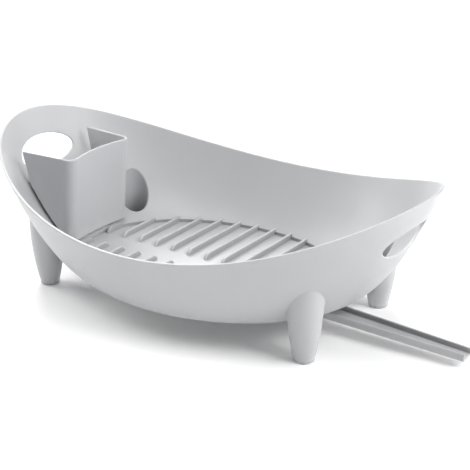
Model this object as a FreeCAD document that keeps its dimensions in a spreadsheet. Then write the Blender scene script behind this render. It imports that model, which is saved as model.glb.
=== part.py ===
"""Dish drying rack: an oval bowl on four hollow legs, with a loose cutlery holder and a sliding drain spout.

Millimetres. X is the long axis and points to the spout end, Y points to the back and +Z is up.
The origin is on the ground, under the middle of the whole rack with its spout drawn out. Shapes are drawn
about the middle of the bowl, and every node is then moved along X by middle_shift.
"""
import FreeCAD
import Part
import Sketcher
import os

DIMENSIONS = [
    ("middle_shift", -21.85),
    # cutting shapes run past what they cut by overcut, and joined shapes run into each other by overlap
    ("overcut", 1.0),
    ("overlap", 1.0),
    # the bowl: its level sections are ellipses that grow from the underside to the rim's high ends
    ("underside_height", 25.0),
    ("underside_half_length", 133.4),
    ("underside_half_width", 107.8),
    ("rim_end_height", 153.3),
    ("rim_end_half_length", 240.0),
    ("rim_end_half_width", 174.5),
    ("rim_tip_height", 155.8),
    ("rim_middle_height", 97.1),
    ("rim_cut_margin", 20.0),
    ("rim_cut_height", 40.0),
    ("length_growth_power", 0.461),
    ("width_growth_power", 0.644),
    ("station_power", 2.2),
    ("top_station", 1.06),
    ("floor_thickness", 3.5),
    ("wall_thickness", 3.0),
    # hand holes at both ends
    ("hand_hole_half_width", 39.8),
    ("hand_hole_half_height", 15.5),
    ("hand_hole_height", 112.5),
    # legs
    ("leg_x", 154.5),
    ("leg_y", 71.2),
    ("leg_foot_radius", 9.9),
    ("leg_top_radius", 17.5),
    ("leg_side_radius", 280.0),
    ("leg_shoulder_height", 78.0),
    ("leg_merge_height", 86.0),
    ("leg_wall", 2.4),
    ("leg_hollow_draft", 1.0),
    ("leg_hollow_side_radius", 260.0),
    ("leg_hollow_shift_x", 0.9),
    ("leg_hollow_shift_y", 0.8),
    ("leg_bottom_thickness", 7.0),
    ("leg_plug_radius", 4.0),
    ("leg_plug_depth", 4.0),
    ("pad_thickness", 3.0),
    ("pad_edge_radius", 1.8),
    ("plug_clearance", 0.05),
    # floor: a shallow step round it, and ribs on both sides of a channel
    ("floor_edge_half_length", 150.4),
    ("floor_edge_half_width", 111.2),
    ("floor_step_depth", 5.0),
    ("rib_first_x", -144.6),
    ("rib_pitch", 21.3),
    ("rib_thickness", 3.2),
    ("rib_height", 6.0),
    ("rib_root", 0.5),
    ("rib_end_slope", 8.0),
    ("rib_end_radius", 8.5),
    ("rib_top_half_length", 157.7),
    ("rib_top_half_width", 115.2),
    ("rib_foot_half_length", 153.0),
    ("rib_foot_half_width", 113.0),
    ("channel_half_width", 12.0),
    # drain in the channel
    ("drain_x", 112.0),
    ("drain_radius", 6.0),
    ("drain_dish_radius", 10.5),
    ("drain_dish_depth", 1.2),
    # cutlery holder
    ("holder_base_height", 37.5),
    ("holder_top_height", 128.9),
    ("holder_base_middle_x", -147.4),
    ("holder_top_middle_x", -143.9),
    ("holder_base_hollow_radius", 220.0),
    ("holder_top_hollow_radius", 135.0),
    ("holder_base_half_width", 47.0),
    ("holder_top_half_width", 48.5),
    ("holder_corner_radius", 9.0),
    ("holder_flare", 0.076),
    ("holder_back_x", -255.0),
    ("holder_wall", 2.2),
    ("holder_gap", 4.2),
    ("holder_cutaway_height", 97.0),
    ("holder_cutaway_low_x", -193.5),
    ("holder_cutaway_top_x", -201.0),
    ("holder_slot_x", -153.6),
    ("holder_slot_length", 9.0),
    ("holder_slot_width", 3.4),
    ("holder_slot_pitch", 15.0),
    ("holder_foot_x", -155.2),
    ("holder_foot_y", 5.0),
    ("holder_foot_length", 4.0),
    ("holder_foot_width", 5.0),
    ("holder_foot_height", 3.0),
    # rounded and bevelled edges
    ("rim_edge_radius", 1.0),
    ("hole_edge_radius", 0.9),
    ("leg_crease_radius", 1.5),
    ("leg_lip_radius", 2.0),
    ("leg_crease_lowest", 30.0),
    ("leg_lip_lowest", 35.0),
    ("leg_edge_longest", 80.0),
    ("rib_edge_radius", 1.2),
    ("holder_edge_bevel", 0.8),
    ("spout_edge_radius", 0.6),
    # spout: its own frame starts under the drain, runs out along its floor and tips down by spout_slope
    ("spout_slope", 2.3),
    ("spout_height", 16.03),
    ("spout_back", -9.0),
    ("spout_tip", 172.3),
    ("spout_back_half_width", 13.2),
    ("spout_tip_half_width", 8.5),
    ("spout_depth", 7.0),
    ("spout_back_depth", 5.0),
    ("spout_shoulder", 38.0),
    ("spout_wall", 2.0),
    ("spout_travel", 75.0),
    ("lug_back", -8.0),
    ("lug_length", 6.0),
    ("lug_height", 2.0),
    ("lug_lift", 1.5),
    ("lug_reach", 2.7),
    ("slide_gap", 0.3),
    # guide under the floor
    ("guide_back", -90.0),
    ("guide_mouth", 8.0),
    ("guide_wall", 2.5),
    ("guide_floor", 2.0),
    ("guide_cut_margin", 20.0),
    ("guide_window_back", -76.0),
    ("guide_window_front", -14.0),
    ("guide_window_half_width", 9.0),
    # screws through the guide's ears into bosses under the floor
    ("screw_first_x", 34.0),
    ("screw_pitch_x", 81.0),
    ("screw_y", 22.0),
    ("ear_half_length", 4.5),
    ("ear_reach", 5.0),
    ("ear_height", 17.5),
    ("ear_thickness", 2.5),
    ("ear_hole_radius", 1.7),
    ("boss_radius", 4.0),
    ("boss_root", 0.5),
    ("boss_hole_radius", 1.55),
    ("boss_hole_depth", 6.0),
    ("screw_radius", 1.5),
    ("screw_length", 8.0),
    ("screw_head_radius", 2.9),
    ("screw_head_height", 2.0),
    ("screw_drive_width", 0.9),
    ("screw_drive_length", 3.4),
    ("screw_drive_depth", 1.1),
]

WALL_STATIONS = 8
RIB_COUNT = 14
SLOT_NUMBERS = (-1, 0, 1)
INNER_WALL_REACH = 0.975
SAME_PLACE = 0.01
CORNERS = {"front_left": (-1, -1), "front_right": (1, -1), "back_left": (-1, 1), "back_right": (1, 1)}

doc = FreeCAD.newDocument("dish_rack")
sheet = doc.addObject("Spreadsheet::Sheet", "Size")
for row, (alias, number) in enumerate(DIMENSIONS, start=1):
    sheet.set(f"A{row}", alias)
    sheet.set(f"B{row}", str(number))
    sheet.setAlias(f"B{row}", alias)
doc.recompute()


# Drawing helpers

def value(text):
    """The number that an expression has now."""
    return float(sheet.evalExpression(text.replace("Size.", "")))


def bind(thing, **expressions):
    """Tie properties of an object to expressions."""
    for name, text in expressions.items():
        thing.setExpression(name, text)


def new_body(label):
    body = doc.addObject("PartDesign::Body", label)
    body.Label = label
    return body


def origin_plane(body, role):
    return next(item for item in body.Origin.OriginFeatures if item.Role == role)


def new_sketch(body, name, role, along="0", across="0", lift="0", turn="0"):
    """A sketch on one of the body's origin planes, shifted in the plane and off it, and turned in it."""
    sketch = body.newObject("Sketcher::SketchObject", name)
    sketch.AttachmentSupport = [(origin_plane(body, role), "")]
    sketch.MapMode = "FlatFace"
    sketch.AttachmentOffset = FreeCAD.Placement(
        FreeCAD.Vector(0, 0, 0), FreeCAD.Rotation(FreeCAD.Vector(0, 0, 1), value(turn)))
    sketch.setExpression(".AttachmentOffset.Base.x", along)
    sketch.setExpression(".AttachmentOffset.Base.y", across)
    sketch.setExpression(".AttachmentOffset.Base.z", lift)
    sketch.setExpression(".AttachmentOffset.Rotation.Angle", turn)
    return sketch


def free_sketch(name, lift):
    """A level sketch that belongs to no body."""
    sketch = doc.addObject("Sketcher::SketchObject", name)
    sketch.setExpression(".Placement.Base.z", lift)
    return sketch


def hold(sketch, kind, geometry, position, text):
    """Hold a point at a bound distance from the sketch's origin."""
    number = sketch.addConstraint(Sketcher.Constraint(kind, -1, 1, geometry, position, value(text)))
    sketch.setExpression(f"Constraints[{number}]", text)


def arc_between(start, finish, radius, side):
    """An arc that bulges to the left (side 1) or the right (side -1) of the way from start to finish."""
    chord = finish - start
    middle = (start + finish) * 0.5
    rise = radius - (radius ** 2 - (chord.Length / 2) ** 2) ** 0.5
    left = FreeCAD.Vector(-chord.y, chord.x, 0).normalize()
    return Part.ArcOfCircle(start, middle + left * (rise * side), finish)


def outline(sketch, corners, arcs=None):
    """A closed outline. Corners are pairs of expressions; arcs maps an edge's number to (radius, side)."""
    arcs = arcs or {}
    points = [FreeCAD.Vector(value(across), value(up), 0) for across, up in corners]
    edges = []
    for number, start in enumerate(points):
        finish = points[(number + 1) % len(points)]
        if number in arcs:
            radius, side = arcs[number]
            geometry = sketch.addGeometry(arc_between(start, finish, value(radius), side))
            limit = sketch.addConstraint(Sketcher.Constraint("Radius", geometry, value(radius)))
            sketch.setExpression(f"Constraints[{limit}]", radius)
        else:
            geometry = sketch.addGeometry(Part.LineSegment(start, finish))
        first = 1 if sketch.getPoint(geometry, 1).distanceToPoint(start) < 1e-6 else 2
        edges.append((geometry, first, 3 - first))
    for number, (geometry, first, _) in enumerate(edges):
        before, _, before_end = edges[number - 1]
        sketch.addConstraint(Sketcher.Constraint("Coincident", before, before_end, geometry, first))
        hold(sketch, "DistanceX", geometry, first, corners[number][0])
        hold(sketch, "DistanceY", geometry, first, corners[number][1])


def rectangle(sketch, low_x, low_y, high_x, high_y):
    outline(sketch, [(low_x, low_y), (high_x, low_y), (high_x, high_y), (low_x, high_y)])


def circle(sketch, centre_x, centre_y, radius):
    centre = FreeCAD.Vector(value(centre_x), value(centre_y), 0)
    geometry = sketch.addGeometry(Part.Circle(centre, FreeCAD.Vector(0, 0, 1), value(radius)))
    limit = sketch.addConstraint(Sketcher.Constraint("Radius", geometry, value(radius)))
    sketch.setExpression(f"Constraints[{limit}]", radius)
    hold(sketch, "DistanceX", geometry, 3, centre_x)
    hold(sketch, "DistanceY", geometry, 3, centre_y)


def ellipse(sketch, half_x, half_y):
    """An ellipse about the sketch's origin; half_x is the longer half."""
    centre = FreeCAD.Vector(0, 0, 0)
    shape = Part.Ellipse(centre, value(half_x), value(half_y))
    geometry = sketch.addGeometry(shape)
    sketch.exposeInternalGeometry(geometry)
    major = geometry + 1
    minor = geometry + 2
    sketch.addConstraint(Sketcher.Constraint("Coincident", geometry, 3, -1, 1))
    sketch.addConstraint(Sketcher.Constraint("Horizontal", major))
    for axis, half in ((major, half_x), (minor, half_y)):
        number = sketch.addConstraint(Sketcher.Constraint("Distance", axis, 2 * value(half)))
        sketch.setExpression(f"Constraints[{number}]", f"2 * ({half})")


def extrude(body, kind, name, sketch, length, both_sides=False, up=False):
    """A Pad or a Pocket of a sketch; a Pocket goes down from its sketch unless up is set."""
    feature = body.newObject(f"PartDesign::{kind}", name)
    feature.Profile = sketch
    feature.Length = value(length)
    feature.setExpression("Length", length)
    feature.Refine = False
    feature.Midplane = both_sides
    feature.Reversed = up
    return feature


def turn_about_upright(body, kind, name, sketch):
    """A Revolution or a Groove about the sketch's own upright axis."""
    feature = body.newObject(f"PartDesign::{kind}", name)
    feature.Profile = sketch
    feature.ReferenceAxis = (sketch, ["V_Axis"])
    feature.Angle = 360
    feature.Refine = False
    return feature


def round_edges(body, name, radius, wanted):
    """Round those edges of the body as it is so far that pass a test."""
    doc.recompute()
    last = body.Tip
    edges = [f"Edge{number}" for number, edge in enumerate(last.Shape.Edges, start=1) if wanted(edge)]
    if not edges:
        raise RuntimeError(f"{name} found no edges")
    fillet = body.newObject("PartDesign::Fillet", name)
    fillet.Base = (last, edges)
    fillet.Radius = value(radius)
    fillet.setExpression("Radius", radius)


def middle_of(edge):
    return edge.valueAt((edge.FirstParameter + edge.LastParameter) / 2)


# Basin

def bowl_section(station, inset, raise_by):
    """Height, half length and half width of the bowl's level section at a station from 0 to just over 1."""
    bottom = f"(Size.underside_height + {raise_by})"
    grown = f"(({station}) ^ Size.station_power)"
    height = f"{bottom} + (Size.rim_end_height - {bottom}) * {grown}"
    half_length = (f"Size.underside_half_length - {inset} + (Size.rim_end_half_length"
                   f" - Size.underside_half_length) * {grown} ^ Size.length_growth_power")
    half_width = (f"Size.underside_half_width - {inset} + (Size.rim_end_half_width"
                  f" - Size.underside_half_width) * {grown} ^ Size.width_growth_power")
    return height, half_length, half_width


def bowl_stations():
    stations = [f"{number} / {WALL_STATIONS}" for number in range(WALL_STATIONS)]
    return stations + ["Size.top_station ^ 0.5", "Size.top_station"]


def add_bowl_loft(body, kind, name, inset, raise_by):
    sketches = []
    for number, station in enumerate(bowl_stations()):
        height, half_length, half_width = bowl_section(station, inset, raise_by)
        sketch = new_sketch(body, f"{name}_section_{number}", "XY_Plane", lift=height)
        ellipse(sketch, half_length, half_width)
        sketches.append(sketch)
    loft = body.newObject(f"PartDesign::{kind}", name)
    loft.Profile = sketches[0]
    loft.Sections = sketches[1:]
    return loft


def add_legs(body):
    for corner, (side_x, side_y) in CORNERS.items():
        sketch = new_sketch(body, f"leg_{corner}_outline", "XZ_Plane",
                            along=f"{side_x} * Size.leg_x", lift=f"{-side_y} * Size.leg_y")
        outline(sketch, [
            ("0", "Size.pad_thickness"),
            ("Size.leg_foot_radius", "Size.pad_thickness"),
            ("Size.leg_top_radius", "Size.leg_shoulder_height"),
            ("Size.leg_top_radius", "Size.leg_merge_height"),
            ("0", "Size.leg_merge_height"),
        ], arcs={1: ("Size.leg_side_radius", -1)})
        turn_about_upright(body, "Revolution", f"leg_{corner}", sketch)
    round_edges(body, "leg_creases", "Size.leg_crease_radius", is_leg_crease)


def is_leg_edge(edge, lowest):
    """True for a short edge between the given height and the top of the legs."""
    box = edge.BoundBox
    return (box.DiagonalLength < value("Size.leg_edge_longest")
            and value(lowest) < middle_of(edge).z < value("Size.leg_merge_height"))


def is_leg_crease(edge):
    """The line where a leg's outside runs into the bowl's outside."""
    return is_leg_edge(edge, "Size.leg_crease_lowest")


def is_leg_lip(edge):
    """The line where a leg's hollow opens into the bowl, well inside the bowl's outer section."""
    if not is_leg_edge(edge, "Size.leg_lip_lowest"):
        return False
    middle = middle_of(edge)
    grown = f"(({middle.z} - Size.underside_height) / (Size.rim_end_height - Size.underside_height))"
    _, half_length, half_width = bowl_section(f"{grown} ^ (1 / Size.station_power)", "0", "0")
    reach = (middle.x / value(half_length)) ** 2 + (middle.y / value(half_width)) ** 2
    return reach < INNER_WALL_REACH


def hollow_legs(body):
    """Each leg is open to the bowl at its top and has a blind hole for the foot pad's plug.

    The hollows stand a little nearer to the middle of the bowl than the legs do.
    """
    inside_bottom = "Size.pad_thickness + Size.leg_bottom_thickness"
    bottom_radius = "Size.leg_foot_radius - Size.leg_wall + Size.leg_hollow_draft"
    for corner, (side_x, side_y) in CORNERS.items():
        sketch = new_sketch(body, f"leg_{corner}_hollow_outline", "XZ_Plane",
                            along=f"{side_x} * (Size.leg_x - Size.leg_hollow_shift_x)",
                            lift=f"{-side_y} * (Size.leg_y - Size.leg_hollow_shift_y)")
        outline(sketch, [
            ("0", inside_bottom),
            (bottom_radius, inside_bottom),
            ("Size.leg_top_radius - Size.leg_wall", "Size.leg_merge_height"),
            ("Size.leg_top_radius - Size.leg_wall", "Size.rim_middle_height"),
            ("0", "Size.rim_middle_height"),
        ], arcs={1: ("Size.leg_hollow_side_radius", -1)})
        turn_about_upright(body, "Groove", f"leg_{corner}_hollow", sketch)
    round_edges(body, "leg_lips", "Size.leg_lip_radius", is_leg_lip)
    for corner, (side_x, side_y) in CORNERS.items():
        place = {"along": f"{side_x} * Size.leg_x", "lift": f"{-side_y} * Size.leg_y"}
        sketch = new_sketch(body, f"leg_{corner}_plug_outline", "XZ_Plane", **place)
        rectangle(sketch, "0", "Size.pad_thickness - Size.overcut", "Size.leg_plug_radius",
                  "Size.pad_thickness + Size.leg_plug_depth")
        turn_about_upright(body, "Groove", f"leg_{corner}_plug_hole", sketch)


def cut_rim(body):
    """The rim dips from its tips to its middle along one arc, seen from the front."""
    rise = "(Size.rim_tip_height - Size.rim_middle_height)"
    radius = f"(Size.rim_end_half_length ^ 2 + {rise} ^ 2) / (2 * {rise})"
    over = "Size.rim_end_half_length + Size.rim_cut_margin"
    over_height = f"Size.rim_middle_height + {radius} - (({radius}) ^ 2 - ({over}) ^ 2) ^ 0.5"
    sketch = new_sketch(body, "rim_outline", "XZ_Plane")
    outline(sketch, [
        (f"-({over})", over_height),
        (over, over_height),
        (over, "Size.rim_end_height + Size.rim_cut_height"),
        (f"-({over})", "Size.rim_end_height + Size.rim_cut_height"),
    ], arcs={0: (radius, -1)})
    extrude(body, "Pocket", "rim_dip", sketch, "4 * Size.rim_end_half_width", both_sides=True)
    round_edges(body, "rim_edges", "Size.rim_edge_radius",
                lambda edge: edge.Length > 4 * value("Size.rim_end_half_length"))


def cut_hand_holes(body):
    sketch = new_sketch(body, "hand_hole_outline", "YZ_Plane", across="Size.hand_hole_height")
    ellipse(sketch, "Size.hand_hole_half_width", "Size.hand_hole_half_height")
    extrude(body, "Pocket", "hand_holes", sketch, "3 * Size.rim_end_half_length", both_sides=True)
    low = value("Size.hand_hole_height - Size.hand_hole_half_height - Size.overcut")
    high = value("Size.hand_hole_height + Size.hand_hole_half_height + Size.overcut")
    reach = value("Size.hand_hole_half_width + Size.overcut")
    round_edges(body, "hand_hole_edges", "Size.hole_edge_radius",
                lambda edge: low < edge.BoundBox.ZMin and edge.BoundBox.ZMax < high
                and -reach < edge.BoundBox.YMin and edge.BoundBox.YMax < reach)


def add_floor_step(body):
    top = "Size.underside_height + Size.floor_thickness"
    sketch = new_sketch(body, "floor_edge", "XY_Plane", lift=f"{top} + Size.floor_step_depth")
    ellipse(sketch, "Size.floor_edge_half_length", "Size.floor_edge_half_width")
    extrude(body, "Pocket", "floor_step", sketch, "Size.floor_step_depth")


def add_ribs(body):
    """Ribs cross the floor from the channel to the wall, and their outer ends run into the wall."""
    foot = "Size.underside_height + Size.floor_thickness - Size.rib_root"
    top = "Size.underside_height + Size.floor_thickness + Size.rib_height"
    for number in range(RIB_COUNT):
        across = f"(Size.rib_first_x + {number} * Size.rib_pitch)"
        top_end = f"Size.rib_top_half_width * (1 - ({across} / Size.rib_top_half_length) ^ 2) ^ 0.5"
        foot_end = f"Size.rib_foot_half_width * (1 - ({across} / Size.rib_foot_half_length) ^ 2) ^ 0.5"
        sketch = new_sketch(body, f"rib_{number}_outline", "YZ_Plane", lift=across)
        for side in (1, -1):
            outline(sketch, [
                (f"{side} * Size.channel_half_width", foot),
                (f"{side} * ({foot_end})", foot),
                (f"{side} * ({top_end})", top),
                (f"{side} * (Size.channel_half_width + Size.rib_end_slope)", top),
            ], arcs={3: ("Size.rib_end_radius", -side)})
        extrude(body, "Pad", f"rib_{number}", sketch, "Size.rib_thickness", both_sides=True)
    first = value("Size.rib_first_x + Size.rib_thickness")
    last = value(f"Size.rib_first_x + {RIB_COUNT - 1} * Size.rib_pitch - Size.rib_thickness")
    height = value(top)
    round_edges(body, "rib_edges", "Size.rib_edge_radius",
                lambda edge: is_rib_top(edge, height) and first < edge.BoundBox.XMin < last)


def is_rib_top(edge, height):
    """A long edge of a rib's flat top."""
    box = edge.BoundBox
    return abs(box.ZMin - height) < SAME_PLACE and box.ZLength < SAME_PLACE and box.XLength < SAME_PLACE


def cut_drain(body):
    floor = "Size.underside_height + Size.floor_thickness"
    sketch = new_sketch(body, "drain_outline", "XZ_Plane", along="Size.drain_x")
    outline(sketch, [
        ("0", "Size.underside_height - Size.overcut"),
        ("Size.drain_radius", "Size.underside_height - Size.overcut"),
        ("Size.drain_radius", f"{floor} - Size.drain_dish_depth"),
        ("Size.drain_dish_radius", floor),
        ("0", floor),
    ])
    turn_about_upright(body, "Groove", "drain", sketch)


def screw_places():
    for number in range(2):
        for side in (-1, 1):
            yield f"Size.screw_first_x + {number} * Size.screw_pitch_x", f"{side} * Size.screw_y"


def add_bosses(body):
    bottom = "Size.ear_height + Size.ear_thickness"
    sketch = new_sketch(body, "boss_outline", "XY_Plane", lift=bottom)
    for across, along in screw_places():
        circle(sketch, across, along, "Size.boss_radius")
    extrude(body, "Pad", "bosses", sketch, f"Size.underside_height - ({bottom}) + Size.boss_root")
    sketch = new_sketch(body, "boss_hole_outline", "XY_Plane", lift=bottom)
    for across, along in screw_places():
        circle(sketch, across, along, "Size.boss_hole_radius")
    extrude(body, "Pocket", "boss_holes", sketch, "Size.boss_hole_depth", up=True)


def make_basin():
    body = new_body("basin")
    add_bowl_loft(body, "AdditiveLoft", "bowl_outside", "0", "0")
    add_legs(body)
    add_bowl_loft(body, "SubtractiveLoft", "bowl_inside", "Size.wall_thickness", "Size.floor_thickness")
    hollow_legs(body)
    cut_rim(body)
    cut_hand_holes(body)
    add_floor_step(body)
    add_ribs(body)
    cut_drain(body)
    add_bosses(body)
    body.setExpression(".Placement.Base.x", "Size.middle_shift")
    return body


# Cutlery holder

def holder_outline(name, height, middle_x, hollow_radius, half_width, inset):
    """Level outline: a front that bows inwards, rounded corners, and sides that flare to the back."""
    bow = f"({hollow_radius} + {inset})"
    round_radius = f"(Size.holder_corner_radius - {inset})"
    bow_x = f"({middle_x} + {hollow_radius})"
    between = f"({hollow_radius} + Size.holder_corner_radius)"
    corner_y = f"({half_width} - Size.holder_corner_radius)"
    corner_x = f"({bow_x} - ({between} ^ 2 - {corner_y} ^ 2) ^ 0.5)"
    slant = "(1 + Size.holder_flare ^ 2) ^ 0.5"
    front = (f"{bow_x} + ({corner_x} - {bow_x}) * {bow} / {between}",
             f"{corner_y} * {bow} / {between}")
    side = (f"{corner_x} + {round_radius} * Size.holder_flare / {slant}",
            f"{corner_y} + {round_radius} / {slant}")
    back = ("Size.holder_back_x", f"{side[1]} + Size.holder_flare * ({side[0]} - Size.holder_back_x)")
    sketch = free_sketch(name, height)
    outline(sketch, [
        (front[0], f"-({front[1]})"), front, side, back, (back[0], f"-({back[1]})"), (side[0], f"-({side[1]})"),
    ], arcs={0: (bow, 1), 1: (round_radius, -1), 5: (round_radius, -1)})
    return sketch


def holder_solid(name, inset, lift):
    """The part of a tapered block that is inside the bowl's end, clear of it by the gap and the inset."""
    low = f"Size.holder_base_height + {lift}"
    high = f"Size.holder_top_height + {lift}"
    sections = [
        holder_outline(f"{name}_low", low, "Size.holder_base_middle_x", "Size.holder_base_hollow_radius",
                       "Size.holder_base_half_width", inset),
        holder_outline(f"{name}_high", high, "Size.holder_top_middle_x", "Size.holder_top_hollow_radius",
                       "Size.holder_top_half_width", inset),
    ]
    block = doc.addObject("Part::Loft", f"{name}_block")
    block.Sections = sections
    block.Solid = True
    block.Ruled = True
    rings = []
    for number, station in enumerate(bowl_stations()):
        height, half_length, half_width = bowl_section(
            station, f"(Size.wall_thickness + Size.holder_gap + {inset})", "Size.floor_thickness")
        ring = doc.addObject("Part::Ellipse", f"{name}_ring_{number}")
        bind(ring, MajorRadius=half_length, MinorRadius=half_width)
        ring.setExpression(".Placement.Base.z", height)
        rings.append(ring)
    limit = doc.addObject("Part::Loft", f"{name}_limit")
    limit.Sections = rings
    limit.Solid = True
    solid = doc.addObject("Part::Common", name)
    solid.Base = block
    solid.Tool = limit
    return solid


def bound_box(name, low, length, width, height):
    box = doc.addObject("Part::Box", name)
    bind(box, Length=length, Width=width, Height=height)
    for axis, text in zip("xyz", low):
        box.setExpression(f".Placement.Base.{axis}", text)
    return box


def cut(name, base, tool):
    result = doc.addObject("Part::Cut", name)
    result.Base = base
    result.Tool = tool
    return result


def make_holder():
    """A thin cup that is cut away at the back, with drip slots and two small feet under its base."""
    outside = holder_solid("holder_outside", "0", "0")
    inside = holder_solid("holder_inside", "Size.holder_wall", "Size.holder_wall")
    cup = cut("holder_cup", outside, inside)
    cutaway_outline = doc.addObject("Sketcher::SketchObject", "cutaway_outline")
    cutaway_outline.Placement = FreeCAD.Placement(
        FreeCAD.Vector(0, 0, 0), FreeCAD.Rotation(FreeCAD.Vector(1, 0, 0), 90))
    outline(cutaway_outline, [
        ("Size.holder_cutaway_low_x", "Size.holder_cutaway_height"),
        ("Size.holder_cutaway_top_x", "Size.holder_top_height + Size.overcut"),
        ("-Size.rim_end_half_length", "Size.holder_top_height + Size.overcut"),
        ("-Size.rim_end_half_length", "Size.holder_cutaway_height"),
    ])
    cutaway = doc.addObject("Part::Extrusion", "cutaway")
    cutaway.Base = cutaway_outline
    cutaway.DirMode = "Normal"
    cutaway.Symmetric = True
    cutaway.Solid = True
    bind(cutaway, LengthFwd="4 * Size.holder_top_half_width")
    open_cup = cut("holder_open_cup", cup, cutaway)
    slots = []
    for number in SLOT_NUMBERS:
        slots.append(bound_box(
            f"drip_slot_{number + 2}",
            ("Size.holder_slot_x", f"{number} * Size.holder_slot_pitch - Size.holder_slot_length / 2",
             "Size.holder_base_height - Size.overcut"),
            "Size.holder_slot_width", "Size.holder_slot_length", "Size.holder_wall + 2 * Size.overcut"))
    drip_slots = doc.addObject("Part::MultiFuse", "drip_slots")
    drip_slots.Shapes = slots
    drained_cup = cut("holder_drained_cup", open_cup, drip_slots)
    bevelled_cup = doc.addObject("Part::Chamfer", "holder_bevelled_cup")
    bevelled_cup.Base = drained_cup
    doc.recompute()
    top = value("Size.holder_top_height")
    bevel = value("Size.holder_edge_bevel")
    bevelled_cup.Edges = [(number, bevel, bevel) for number, edge in enumerate(drained_cup.Shape.Edges, start=1)
                          if edge.BoundBox.ZMin > top - SAME_PLACE]
    feet = []
    for name, low_y in (("back", "Size.holder_foot_y"),
                        ("front", "-Size.holder_foot_y - Size.holder_foot_width")):
        feet.append(bound_box(
            f"holder_foot_{name}",
            ("Size.holder_foot_x", low_y, "Size.holder_base_height - Size.holder_foot_height"),
            "Size.holder_foot_length", "Size.holder_foot_width", "Size.holder_foot_height + Size.overlap"))
    holder = doc.addObject("Part::MultiFuse", "cutlery_holder")
    holder.Shapes = [bevelled_cup] + feet
    holder.Label = "cutlery_holder"
    holder.setExpression(".Placement.Base.x", "Size.middle_shift")
    return holder


# Drain spout

def make_spout():
    body = new_body("drain_spout")
    sketch = new_sketch(body, "spout_outline", "XY_Plane")
    outline(sketch, [
        ("Size.spout_back", "-Size.spout_back_half_width"),
        ("Size.spout_tip", "-Size.spout_tip_half_width"),
        ("Size.spout_tip", "Size.spout_tip_half_width"),
        ("Size.spout_back", "Size.spout_back_half_width"),
    ])
    extrude(body, "Pad", "spout_block", sketch, "Size.spout_depth")
    sketch = new_sketch(body, "spout_channel_outline", "XY_Plane", lift="Size.spout_depth")
    outline(sketch, [
        ("Size.spout_back + Size.spout_wall", "Size.spout_wall - Size.spout_back_half_width"),
        ("Size.spout_tip + Size.overcut", "Size.spout_wall - Size.spout_tip_half_width"),
        ("Size.spout_tip + Size.overcut", "Size.spout_tip_half_width - Size.spout_wall"),
        ("Size.spout_back + Size.spout_wall", "Size.spout_back_half_width - Size.spout_wall"),
    ])
    extrude(body, "Pocket", "spout_channel", sketch, "Size.spout_depth - Size.spout_wall")
    sketch = new_sketch(body, "spout_back_outline", "XZ_Plane")
    outline(sketch, [
        ("Size.spout_back - Size.overcut", "Size.spout_back_depth"),
        ("Size.spout_back", "Size.spout_back_depth"),
        ("Size.spout_shoulder", "Size.spout_depth"),
        ("Size.spout_back - Size.overcut", "Size.spout_depth + Size.overcut"),
    ])
    extrude(body, "Pocket", "spout_back_lowered", sketch, "4 * Size.spout_back_half_width", both_sides=True)
    sketch = new_sketch(body, "lug_outline", "XY_Plane", lift="Size.lug_lift")
    for side in (-1, 1):
        rectangle(sketch, "Size.lug_back", f"{side} * (Size.spout_back_half_width - Size.overlap)",
                  "Size.lug_back + Size.lug_length",
                  f"{side} * (Size.spout_back_half_width + Size.lug_reach)")
    extrude(body, "Pad", "lugs", sketch, "Size.lug_height")
    top = value("Size.spout_depth")
    tip = value("Size.spout_tip")
    round_edges(body, "spout_edges", "Size.spout_edge_radius",
                lambda edge: edge.BoundBox.ZMin > top - SAME_PLACE and edge.BoundBox.XMin < tip - SAME_PLACE
                and edge.BoundBox.XMax > tip - SAME_PLACE)
    body.Placement = FreeCAD.Placement(
        FreeCAD.Vector(), FreeCAD.Rotation(FreeCAD.Vector(0, 1, 0), value("Size.spout_slope")))
    body.setExpression(".Placement.Base.x", "Size.drain_x + Size.middle_shift")
    body.setExpression(".Placement.Base.z", "Size.spout_height")
    body.setExpression(".Placement.Rotation.Angle", "Size.spout_slope")
    return body


# Guide under the floor

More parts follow.
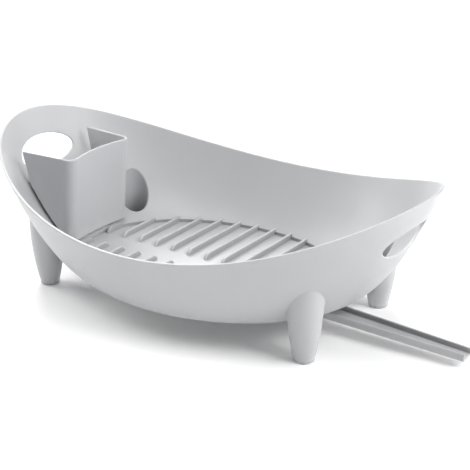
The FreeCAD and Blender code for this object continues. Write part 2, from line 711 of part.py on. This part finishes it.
def make_guide():
    """A trough that carries the spout; its cheeks have slots for the spout's lugs."""
    body = new_body("spout_guide")
    sloping = {"along": "Size.drain_x", "across": "Size.spout_height", "turn": "-Size.spout_slope"}
    channel_half_width = "(Size.spout_back_half_width + Size.slide_gap)"
    outer_half_width = f"({channel_half_width} + Size.guide_wall)"
    sketch = new_sketch(body, "guide_side_outline", "XZ_Plane", **sloping)
    rectangle(sketch, "Size.guide_back", "-Size.slide_gap - Size.guide_floor",
              "Size.guide_mouth", "Size.underside_height")
    extrude(body, "Pad", "guide_block", sketch, f"2 * {outer_half_width}", both_sides=True)
    sketch = new_sketch(body, "guide_top_outline", "XZ_Plane", along="Size.drain_x")
    rectangle(sketch, "Size.guide_back - Size.guide_cut_margin", "Size.underside_height",
              "Size.guide_mouth + Size.guide_cut_margin", "2 * Size.underside_height")
    extrude(body, "Pocket", "guide_top", sketch, f"4 * {outer_half_width}", both_sides=True)
    sketch = new_sketch(body, "guide_channel_outline", "XZ_Plane", **sloping)
    rectangle(sketch, "Size.guide_back + Size.guide_wall", "-Size.slide_gap",
              "Size.guide_mouth + Size.overcut", "Size.underside_height")
    extrude(body, "Pocket", "guide_channel", sketch, f"2 * {channel_half_width}", both_sides=True)
    sketch = new_sketch(body, "guide_slot_outline", "XZ_Plane", **sloping)
    rectangle(sketch, "Size.lug_back - Size.spout_travel - Size.slide_gap",
              "Size.lug_lift - Size.slide_gap",
              "Size.lug_back + Size.lug_length + Size.slide_gap",
              "Size.lug_lift + Size.lug_height + Size.slide_gap")
    extrude(body, "Pocket", "guide_slots", sketch, f"4 * {outer_half_width}", both_sides=True)
    sketch = new_sketch(body, "guide_window_outline", "XY_Plane", along="Size.drain_x",
                        lift="Size.underside_height")
    rectangle(sketch, "Size.guide_window_back", "-Size.guide_window_half_width",
              "Size.guide_window_front", "Size.guide_window_half_width")
    extrude(body, "Pocket", "guide_window", sketch, "Size.underside_height")
    sketch = new_sketch(body, "ear_outline", "XY_Plane", lift="Size.ear_height")
    for across, along in screw_places():
        side = "-1" if along.startswith("-") else "1"
        rectangle(sketch, f"{across} - Size.ear_half_length", f"{side} * ({outer_half_width} - Size.overlap)",
                  f"{across} + Size.ear_half_length", f"{side} * (Size.screw_y + Size.ear_reach)")
    extrude(body, "Pad", "ears", sketch, "Size.ear_thickness")
    sketch = new_sketch(body, "ear_hole_outline", "XY_Plane", lift="Size.ear_height + Size.ear_thickness")
    for across, along in screw_places():
        circle(sketch, across, along, "Size.ear_hole_radius")
    extrude(body, "Pocket", "ear_holes", sketch, "2 * Size.ear_thickness")
    body.setExpression(".Placement.Base.x", "Size.middle_shift")
    return body


# Fasteners and feet

def make_screws():
    """Four pan-head screws, heads down, each with a cross drive."""
    screws = []
    for number, (across, along) in enumerate(screw_places()):
        shank = doc.addObject("Part::Cylinder", f"screw_shank_{number}")
        bind(shank, Radius="Size.screw_radius", Height="Size.screw_length")
        head = doc.addObject("Part::Cylinder", f"screw_head_{number}")
        bind(head, Radius="Size.screw_head_radius", Height="Size.screw_head_height")
        for piece, height in ((shank, "Size.ear_height"), (head, "Size.ear_height - Size.screw_head_height")):
            piece.setExpression(".Placement.Base.x", across)
            piece.setExpression(".Placement.Base.y", along)
            piece.setExpression(".Placement.Base.z", height)
        drives = []
        for name, length, width in (("x", "length", "width"), ("y", "width", "length")):
            drives.append(bound_box(
                f"screw_drive_{name}_{number}",
                (f"{across} - Size.screw_drive_{length} / 2", f"{along} - Size.screw_drive_{width} / 2",
                 "Size.ear_height - Size.screw_head_height - Size.overcut"),
                f"Size.screw_drive_{length}", f"Size.screw_drive_{width}",
                "Size.screw_drive_depth + Size.overcut"))
        blank = doc.addObject("Part::MultiFuse", f"screw_blank_{number}")
        blank.Shapes = [shank, head]
        drive = doc.addObject("Part::MultiFuse", f"screw_drive_{number}")
        drive.Shapes = drives
        screws.append(cut(f"screw_{number}", blank, drive))
    group = doc.addObject("Part::Compound", "guide_screws")
    group.Links = screws
    group.Label = "guide_screws"
    group.setExpression(".Placement.Base.x", "Size.middle_shift")
    return group


def make_foot_pad(corner, side_x, side_y):
    """A soft pad with a plug that fits the leg's blind hole."""
    body = new_body(f"foot_pad_{corner}")
    sketch = new_sketch(body, f"pad_outline_{corner}", "XZ_Plane")
    outline(sketch, [
        ("0", "0"),
        ("Size.leg_foot_radius - Size.pad_edge_radius", "0"),
        ("Size.leg_foot_radius", "Size.pad_edge_radius"),
        ("Size.leg_foot_radius", "Size.pad_thickness"),
        ("Size.leg_plug_radius - Size.plug_clearance", "Size.pad_thickness"),
        ("Size.leg_plug_radius - Size.plug_clearance",
         "Size.pad_thickness + Size.leg_plug_depth - 2 * Size.plug_clearance"),
        ("0", "Size.pad_thickness + Size.leg_plug_depth - 2 * Size.plug_clearance"),
    ], arcs={1: ("Size.pad_edge_radius", -1)})
    turn_about_upright(body, "Revolution", f"pad_{corner}", sketch)
    body.setExpression(".Placement.Base.x", f"{side_x} * Size.leg_x + Size.middle_shift")
    body.setExpression(".Placement.Base.y", f"{side_y} * Size.leg_y")
    return body


def check_and_write(nodes):
    doc.recompute()
    for item in doc.Objects:
        if {"Invalid", "Error"} & set(item.State):
            raise RuntimeError(f"{item.Name} did not build: {item.getStatusString()}")
    for node in nodes:
        if node.Shape.isNull() or not node.Shape.isValid():
            raise RuntimeError(f"{node.Label} has no valid shape")
    os.makedirs("parts", exist_ok=True)
    for node in nodes:
        node.Shape.exportStep(f"parts/{node.Label}.step")
        box = node.Shape.BoundBox
        print(f"{node.Label}: {len(node.Shape.Solids)} solid, {node.Shape.Volume / 1000:.2f} cm3, "
              f"{box.XMin:.1f} {box.XMax:.1f}, {box.YMin:.1f} {box.YMax:.1f}, {box.ZMin:.1f} {box.ZMax:.1f}")


nodes = [make_basin(), make_holder(), make_spout(), make_guide(), make_screws()]
for corner_name, (sign_x, sign_y) in CORNERS.items():
    nodes.append(make_foot_pad(corner_name, sign_x, sign_y))
check_and_write(nodes)
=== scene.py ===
import bpy
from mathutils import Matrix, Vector


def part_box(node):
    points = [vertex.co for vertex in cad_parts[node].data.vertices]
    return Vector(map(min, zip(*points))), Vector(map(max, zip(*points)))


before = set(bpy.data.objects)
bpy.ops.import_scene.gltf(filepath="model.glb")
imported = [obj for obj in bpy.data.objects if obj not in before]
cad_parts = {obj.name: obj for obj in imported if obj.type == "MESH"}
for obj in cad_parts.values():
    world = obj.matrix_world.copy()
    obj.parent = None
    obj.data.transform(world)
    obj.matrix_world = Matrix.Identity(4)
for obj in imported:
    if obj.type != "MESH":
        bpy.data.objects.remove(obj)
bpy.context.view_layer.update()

# The rack's looks: satin plastic on the mouldings, rubber on the foot pads and steel on the screws,
# on a pale floor in soft studio light. Lengths are in metres, and lamps are in watts.

# The origin is under the middle of the whole rack with its spout out, so the bowl's middle lies at -X of it.
basin_low, basin_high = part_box("basin")
BOWL_MIDDLE = Vector(((basin_low.x + basin_high.x) / 2, 0.0, 0.0))


# Materials

# Noise that varies a surface, in waves per metre
TONE_DRIFT_SCALE = 9.0
TONE_SPECK_SCALE = 900.0
SMEAR_SCALE = 26.0
FINE_GLOSS_SCALE = 420.0
MOULD_GRAIN_SCALE = 1600.0
MOULD_WAVE_SCALE = 14.0

# A noise's values lie mostly in this span, and a smear begins a little higher
NOISE_SPAN = (0.3, 0.7)
SMEAR_SPAN = (0.35, 0.7)

# What the noise does: factors on the tone, and steps in roughness
TONE_DRIFT = (0.975, 1.02)
TONE_SPECK = (0.985, 1.012)
SMEAR_GLOSS = (-0.05, 0.07)
FINE_GLOSS = (-0.03, 0.03)

# Edges are painted lighter by how sharp they are, partly as scuffed wear and partly as a painted highlight,
# and hollows get painted shade by how closed they are
EDGE_SPAN = (0.5, 0.60)
EDGE_WEAR_AND_HIGHLIGHT_TONES = (1.0, 1.08)
HOLLOW_REACH = 0.03
HOLLOW_SPAN = (0.05, 0.75)
HOLLOW_SHADE_TONES = (0.5, 1.0)
HOLLOW_SAMPLES = 8

# The mould's grain, the slight waves of a thin wall, and how light enters the plastic
GRAIN_HEIGHT = 0.00006
WAVE_HEIGHT = 0.0006
WAVE_STRENGTH = 0.25
PLASTIC_IOR = 1.49
SCATTER_RADIUS = (0.004, 0.004, 0.0045)


def new_material(name):
    material = bpy.data.materials.new(name)
    material.use_nodes = True
    return material, material.node_tree.nodes, material.node_tree.links


def noise(nodes, links, coords, scale, detail, roughness=0.5):
    node = nodes.new("ShaderNodeTexNoise")
    node.inputs["Scale"].default_value = scale
    node.inputs["Detail"].default_value = detail
    node.inputs["Roughness"].default_value = roughness
    links.new(coords, node.inputs["Vector"])
    return node.outputs["Fac"]


def remap(nodes, links, source, span, result):
    """Turn the source's values in span into those in result, and hold them at its ends."""
    node = nodes.new("ShaderNodeMapRange")
    node.inputs["From Min"].default_value = span[0]
    node.inputs["From Max"].default_value = span[1]
    node.inputs["To Min"].default_value = result[0]
    node.inputs["To Max"].default_value = result[1]
    links.new(source, node.inputs["Value"])
    return node.outputs["Result"]


def combine(nodes, links, operation, first, second):
    node = nodes.new("ShaderNodeMath")
    node.operation = operation
    links.new(first, node.inputs[0])
    links.new(second, node.inputs[1])
    return node.outputs[0]


def tone_factor(nodes, links, coords):
    """A factor near 1 on the colour: slow drift, fine specks, edges lighter with scuffed wear and a painted
    highlight, and painted shade in the hollows.
    """
    drift = remap(nodes, links, noise(nodes, links, coords, TONE_DRIFT_SCALE, 3.0), NOISE_SPAN, TONE_DRIFT)
    speck = remap(nodes, links, noise(nodes, links, coords, TONE_SPECK_SCALE, 2.0), NOISE_SPAN, TONE_SPECK)
    # Sharp edges are painted lighter: partly scuffed wear, partly a painted highlight along the rims
    edge = nodes.new("ShaderNodeNewGeometry").outputs["Pointiness"]
    edge_wear_and_highlight = remap(nodes, links, edge, EDGE_SPAN, EDGE_WEAR_AND_HIGHLIGHT_TONES)
    # Painted shade: ambient occlusion darkens hollows, creases and wells by how closed they are
    hollow = nodes.new("ShaderNodeAmbientOcclusion")
    hollow.samples = HOLLOW_SAMPLES
    hollow.only_local = True
    hollow.inputs["Distance"].default_value = HOLLOW_REACH
    hollow_shade = remap(nodes, links, hollow.outputs["AO"], HOLLOW_SPAN, HOLLOW_SHADE_TONES)
    tone = combine(nodes, links, "MULTIPLY", drift, speck)
    tone = combine(nodes, links, "MULTIPLY", tone, edge_wear_and_highlight)
    return combine(nodes, links, "MULTIPLY", tone, hollow_shade)


def gloss(nodes, links, coords, roughness):
    """The roughness, with broad handling smears and a fine variation."""
    smear = remap(nodes, links, noise(nodes, links, coords, SMEAR_SCALE, 5.0, 0.6), SMEAR_SPAN,
                  (roughness + SMEAR_GLOSS[0], roughness + SMEAR_GLOSS[1]))
    fine = remap(nodes, links, noise(nodes, links, coords, FINE_GLOSS_SCALE, 3.0), NOISE_SPAN, FINE_GLOSS)
    return combine(nodes, links, "ADD", smear, fine)


def relief(nodes, links, coords, grain):
    """A surface normal with the mould's grain on the slight waves of a thin wall."""
    bump = nodes.new("ShaderNodeBump")
    bump.inputs["Strength"].default_value = grain
    bump.inputs["Distance"].default_value = GRAIN_HEIGHT
    links.new(noise(nodes, links, coords, MOULD_GRAIN_SCALE, 2.0), bump.inputs["Height"])
    wave = nodes.new("ShaderNodeBump")
    wave.inputs["Strength"].default_value = WAVE_STRENGTH
    wave.inputs["Distance"].default_value = WAVE_HEIGHT
    links.new(noise(nodes, links, coords, MOULD_WAVE_SCALE, 1.0), wave.inputs["Height"])
    links.new(wave.outputs["Normal"], bump.inputs["Normal"])
    return bump.outputs["Normal"]


def surface(name, colour, roughness, grain, subsurface, metallic=0.0):
    """A satin or matt surface in one colour, varied by noise and by the piece's own shape: lighter edges,
    partly wear and partly a painted highlight, and painted shade in its hollows.
    """
    material, nodes, links = new_material(name)
    shader = nodes["Principled BSDF"]
    coords = nodes.new("ShaderNodeTexCoord").outputs["Object"]
    tint = nodes.new("ShaderNodeVectorMath")
    tint.operation = "SCALE"
    tint.inputs[0].default_value = colour
    links.new(tone_factor(nodes, links, coords), tint.inputs["Scale"])
    links.new(tint.outputs[0], shader.inputs["Base Color"])
    links.new(gloss(nodes, links, coords, roughness), shader.inputs["Roughness"])
    links.new(relief(nodes, links, coords, grain), shader.inputs["Normal"])
    shader.inputs["Metallic"].default_value = metallic
    shader.inputs["IOR"].default_value = PLASTIC_IOR
    shader.inputs["Subsurface Weight"].default_value = subsurface
    shader.inputs["Subsurface Radius"].default_value = SCATTER_RADIUS
    shader.inputs["Subsurface Scale"].default_value = 1.0
    return material


bowl_plastic = surface("bowl_plastic_looks", (0.50, 0.505, 0.517), 0.42, 0.35, 0.06)
holder_plastic = surface("holder_plastic_looks", (0.505, 0.51, 0.522), 0.42, 0.35, 0.06)
spout_plastic = surface("spout_plastic_looks", (0.46, 0.462, 0.469), 0.45, 0.35, 0.04)
guide_plastic = surface("guide_plastic_looks", (0.46, 0.462, 0.469), 0.5, 0.4, 0.04)
rubber = surface("foot_rubber_looks", (0.46, 0.465, 0.475), 0.75, 0.6, 0.0)
steel = surface("screw_steel_looks", (0.62, 0.62, 0.63), 0.32, 0.4, 0.0, metallic=1.0)

FINISHES = {
    "basin": bowl_plastic,
    "cutlery_holder": holder_plastic,
    "drain_spout": spout_plastic,
    "spout_guide": guide_plastic,
    "guide_screws": steel,
}
for node_name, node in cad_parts.items():
    node.data.materials[0] = FINISHES.get(node_name, rubber)


# Floor

FLOOR_HALF_SIZE = 20.0
FLOOR_GREY = 0.93
FLOOR_ROUGHNESS = 0.9

# The lamps light the floor's middle. Past them its own glow keeps it as pale out to the horizon.
LIT_RADIUS = 1.2
PALE_RADIUS = 2.6
NEAR_GLOW = 0.08
FAR_GLOW = 0.9


def floor_plane(half):
    mesh = bpy.data.meshes.new("floor")
    corners = [(-half, -half, 0), (half, -half, 0), (half, half, 0), (-half, half, 0)]
    mesh.from_pydata(corners, [], [(0, 1, 2, 3)])
    floor = bpy.data.objects.new("floor", mesh)
    bpy.context.scene.collection.objects.link(floor)
    material, nodes, links = new_material("floor_paper")
    shader = nodes["Principled BSDF"]
    shader.inputs["Base Color"].default_value = (FLOOR_GREY, FLOOR_GREY, FLOOR_GREY, 1)
    shader.inputs["Roughness"].default_value = FLOOR_ROUGHNESS
    shader.inputs["Emission Color"].default_value = (1.0, 1.0, 1.0, 1)
    reach = nodes.new("ShaderNodeVectorMath")
    reach.operation = "LENGTH"
    links.new(nodes.new("ShaderNodeTexCoord").outputs["Object"], reach.inputs[0])
    glow = remap(nodes, links, reach.outputs["Value"], (LIT_RADIUS, PALE_RADIUS), (NEAR_GLOW, FAR_GLOW))
    links.new(glow, shader.inputs["Emission Strength"])
    mesh.materials.append(material)


floor_plane(FLOOR_HALF_SIZE)


# Light

WORLD_STRENGTH = 0.07
LAMP_SIZE = 1.2
LAMP_TARGET = (0.0, 0.0, 0.08)
LAMPS = [
    ("right", (1.80, 0.10, 1.62), 42),
    ("back_right", (1.66, 1.66, 0.58), 20),
    ("back_left", (-1.36, 1.36, 1.52), 44),
    ("left", (-2.15, -0.30, 1.09), 34),
    ("front_top", (0.0, -0.80, 2.34), 24),
]


def turn_towards(thing, target):
    """Turn a lamp or camera so that it looks at the target."""
    direction = Vector(target) - thing.location
    thing.rotation_euler = direction.to_track_quat("-Z", "Y").to_euler()


def area_light(name, place, watts):
    lamp = bpy.data.lights.new(name, "AREA")
    lamp.shape = "RECTANGLE"
    lamp.size = LAMP_SIZE
    lamp.size_y = LAMP_SIZE
    lamp.energy = watts
    lamp_object = bpy.data.objects.new(name, lamp)
    lamp_object.location = place
    turn_towards(lamp_object, LAMP_TARGET)
    bpy.context.scene.collection.objects.link(lamp_object)


def studio_world():
    world = bpy.data.worlds.new("studio")
    world.use_nodes = True
    background = world.node_tree.nodes["Background"]
    background.inputs["Color"].default_value = (1.0, 1.0, 1.0, 1)
    background.inputs["Strength"].default_value = WORLD_STRENGTH
    bpy.context.scene.world = world


studio_world()
bpy.context.scene.view_settings.view_transform = "Standard"
for lamp_name, lamp_place, lamp_watts in LAMPS:
    area_light(lamp_name, lamp_place, lamp_watts)


# Camera, placed about the bowl's middle

LENS_MM = 99.7
SENSOR_MM = 36.0
CLIP_START = 0.05
CLIP_END = 50.0
CAMERA_PLACE = Vector((0.6994, -0.9849, 0.5604))
CAMERA_TARGET = Vector((0.02963, 0.0, 0.071055))


def add_camera():
    camera_data = bpy.data.cameras.new("camera")
    camera_data.lens = LENS_MM
    camera_data.sensor_width = SENSOR_MM
    camera_data.clip_start = CLIP_START
    camera_data.clip_end = CLIP_END
    camera = bpy.data.objects.new("camera", camera_data)
    camera.location = BOWL_MIDDLE + CAMERA_PLACE
    turn_towards(camera, BOWL_MIDDLE + CAMERA_TARGET)
    bpy.context.scene.collection.objects.link(camera)
    bpy.context.scene.camera = camera


add_camera()
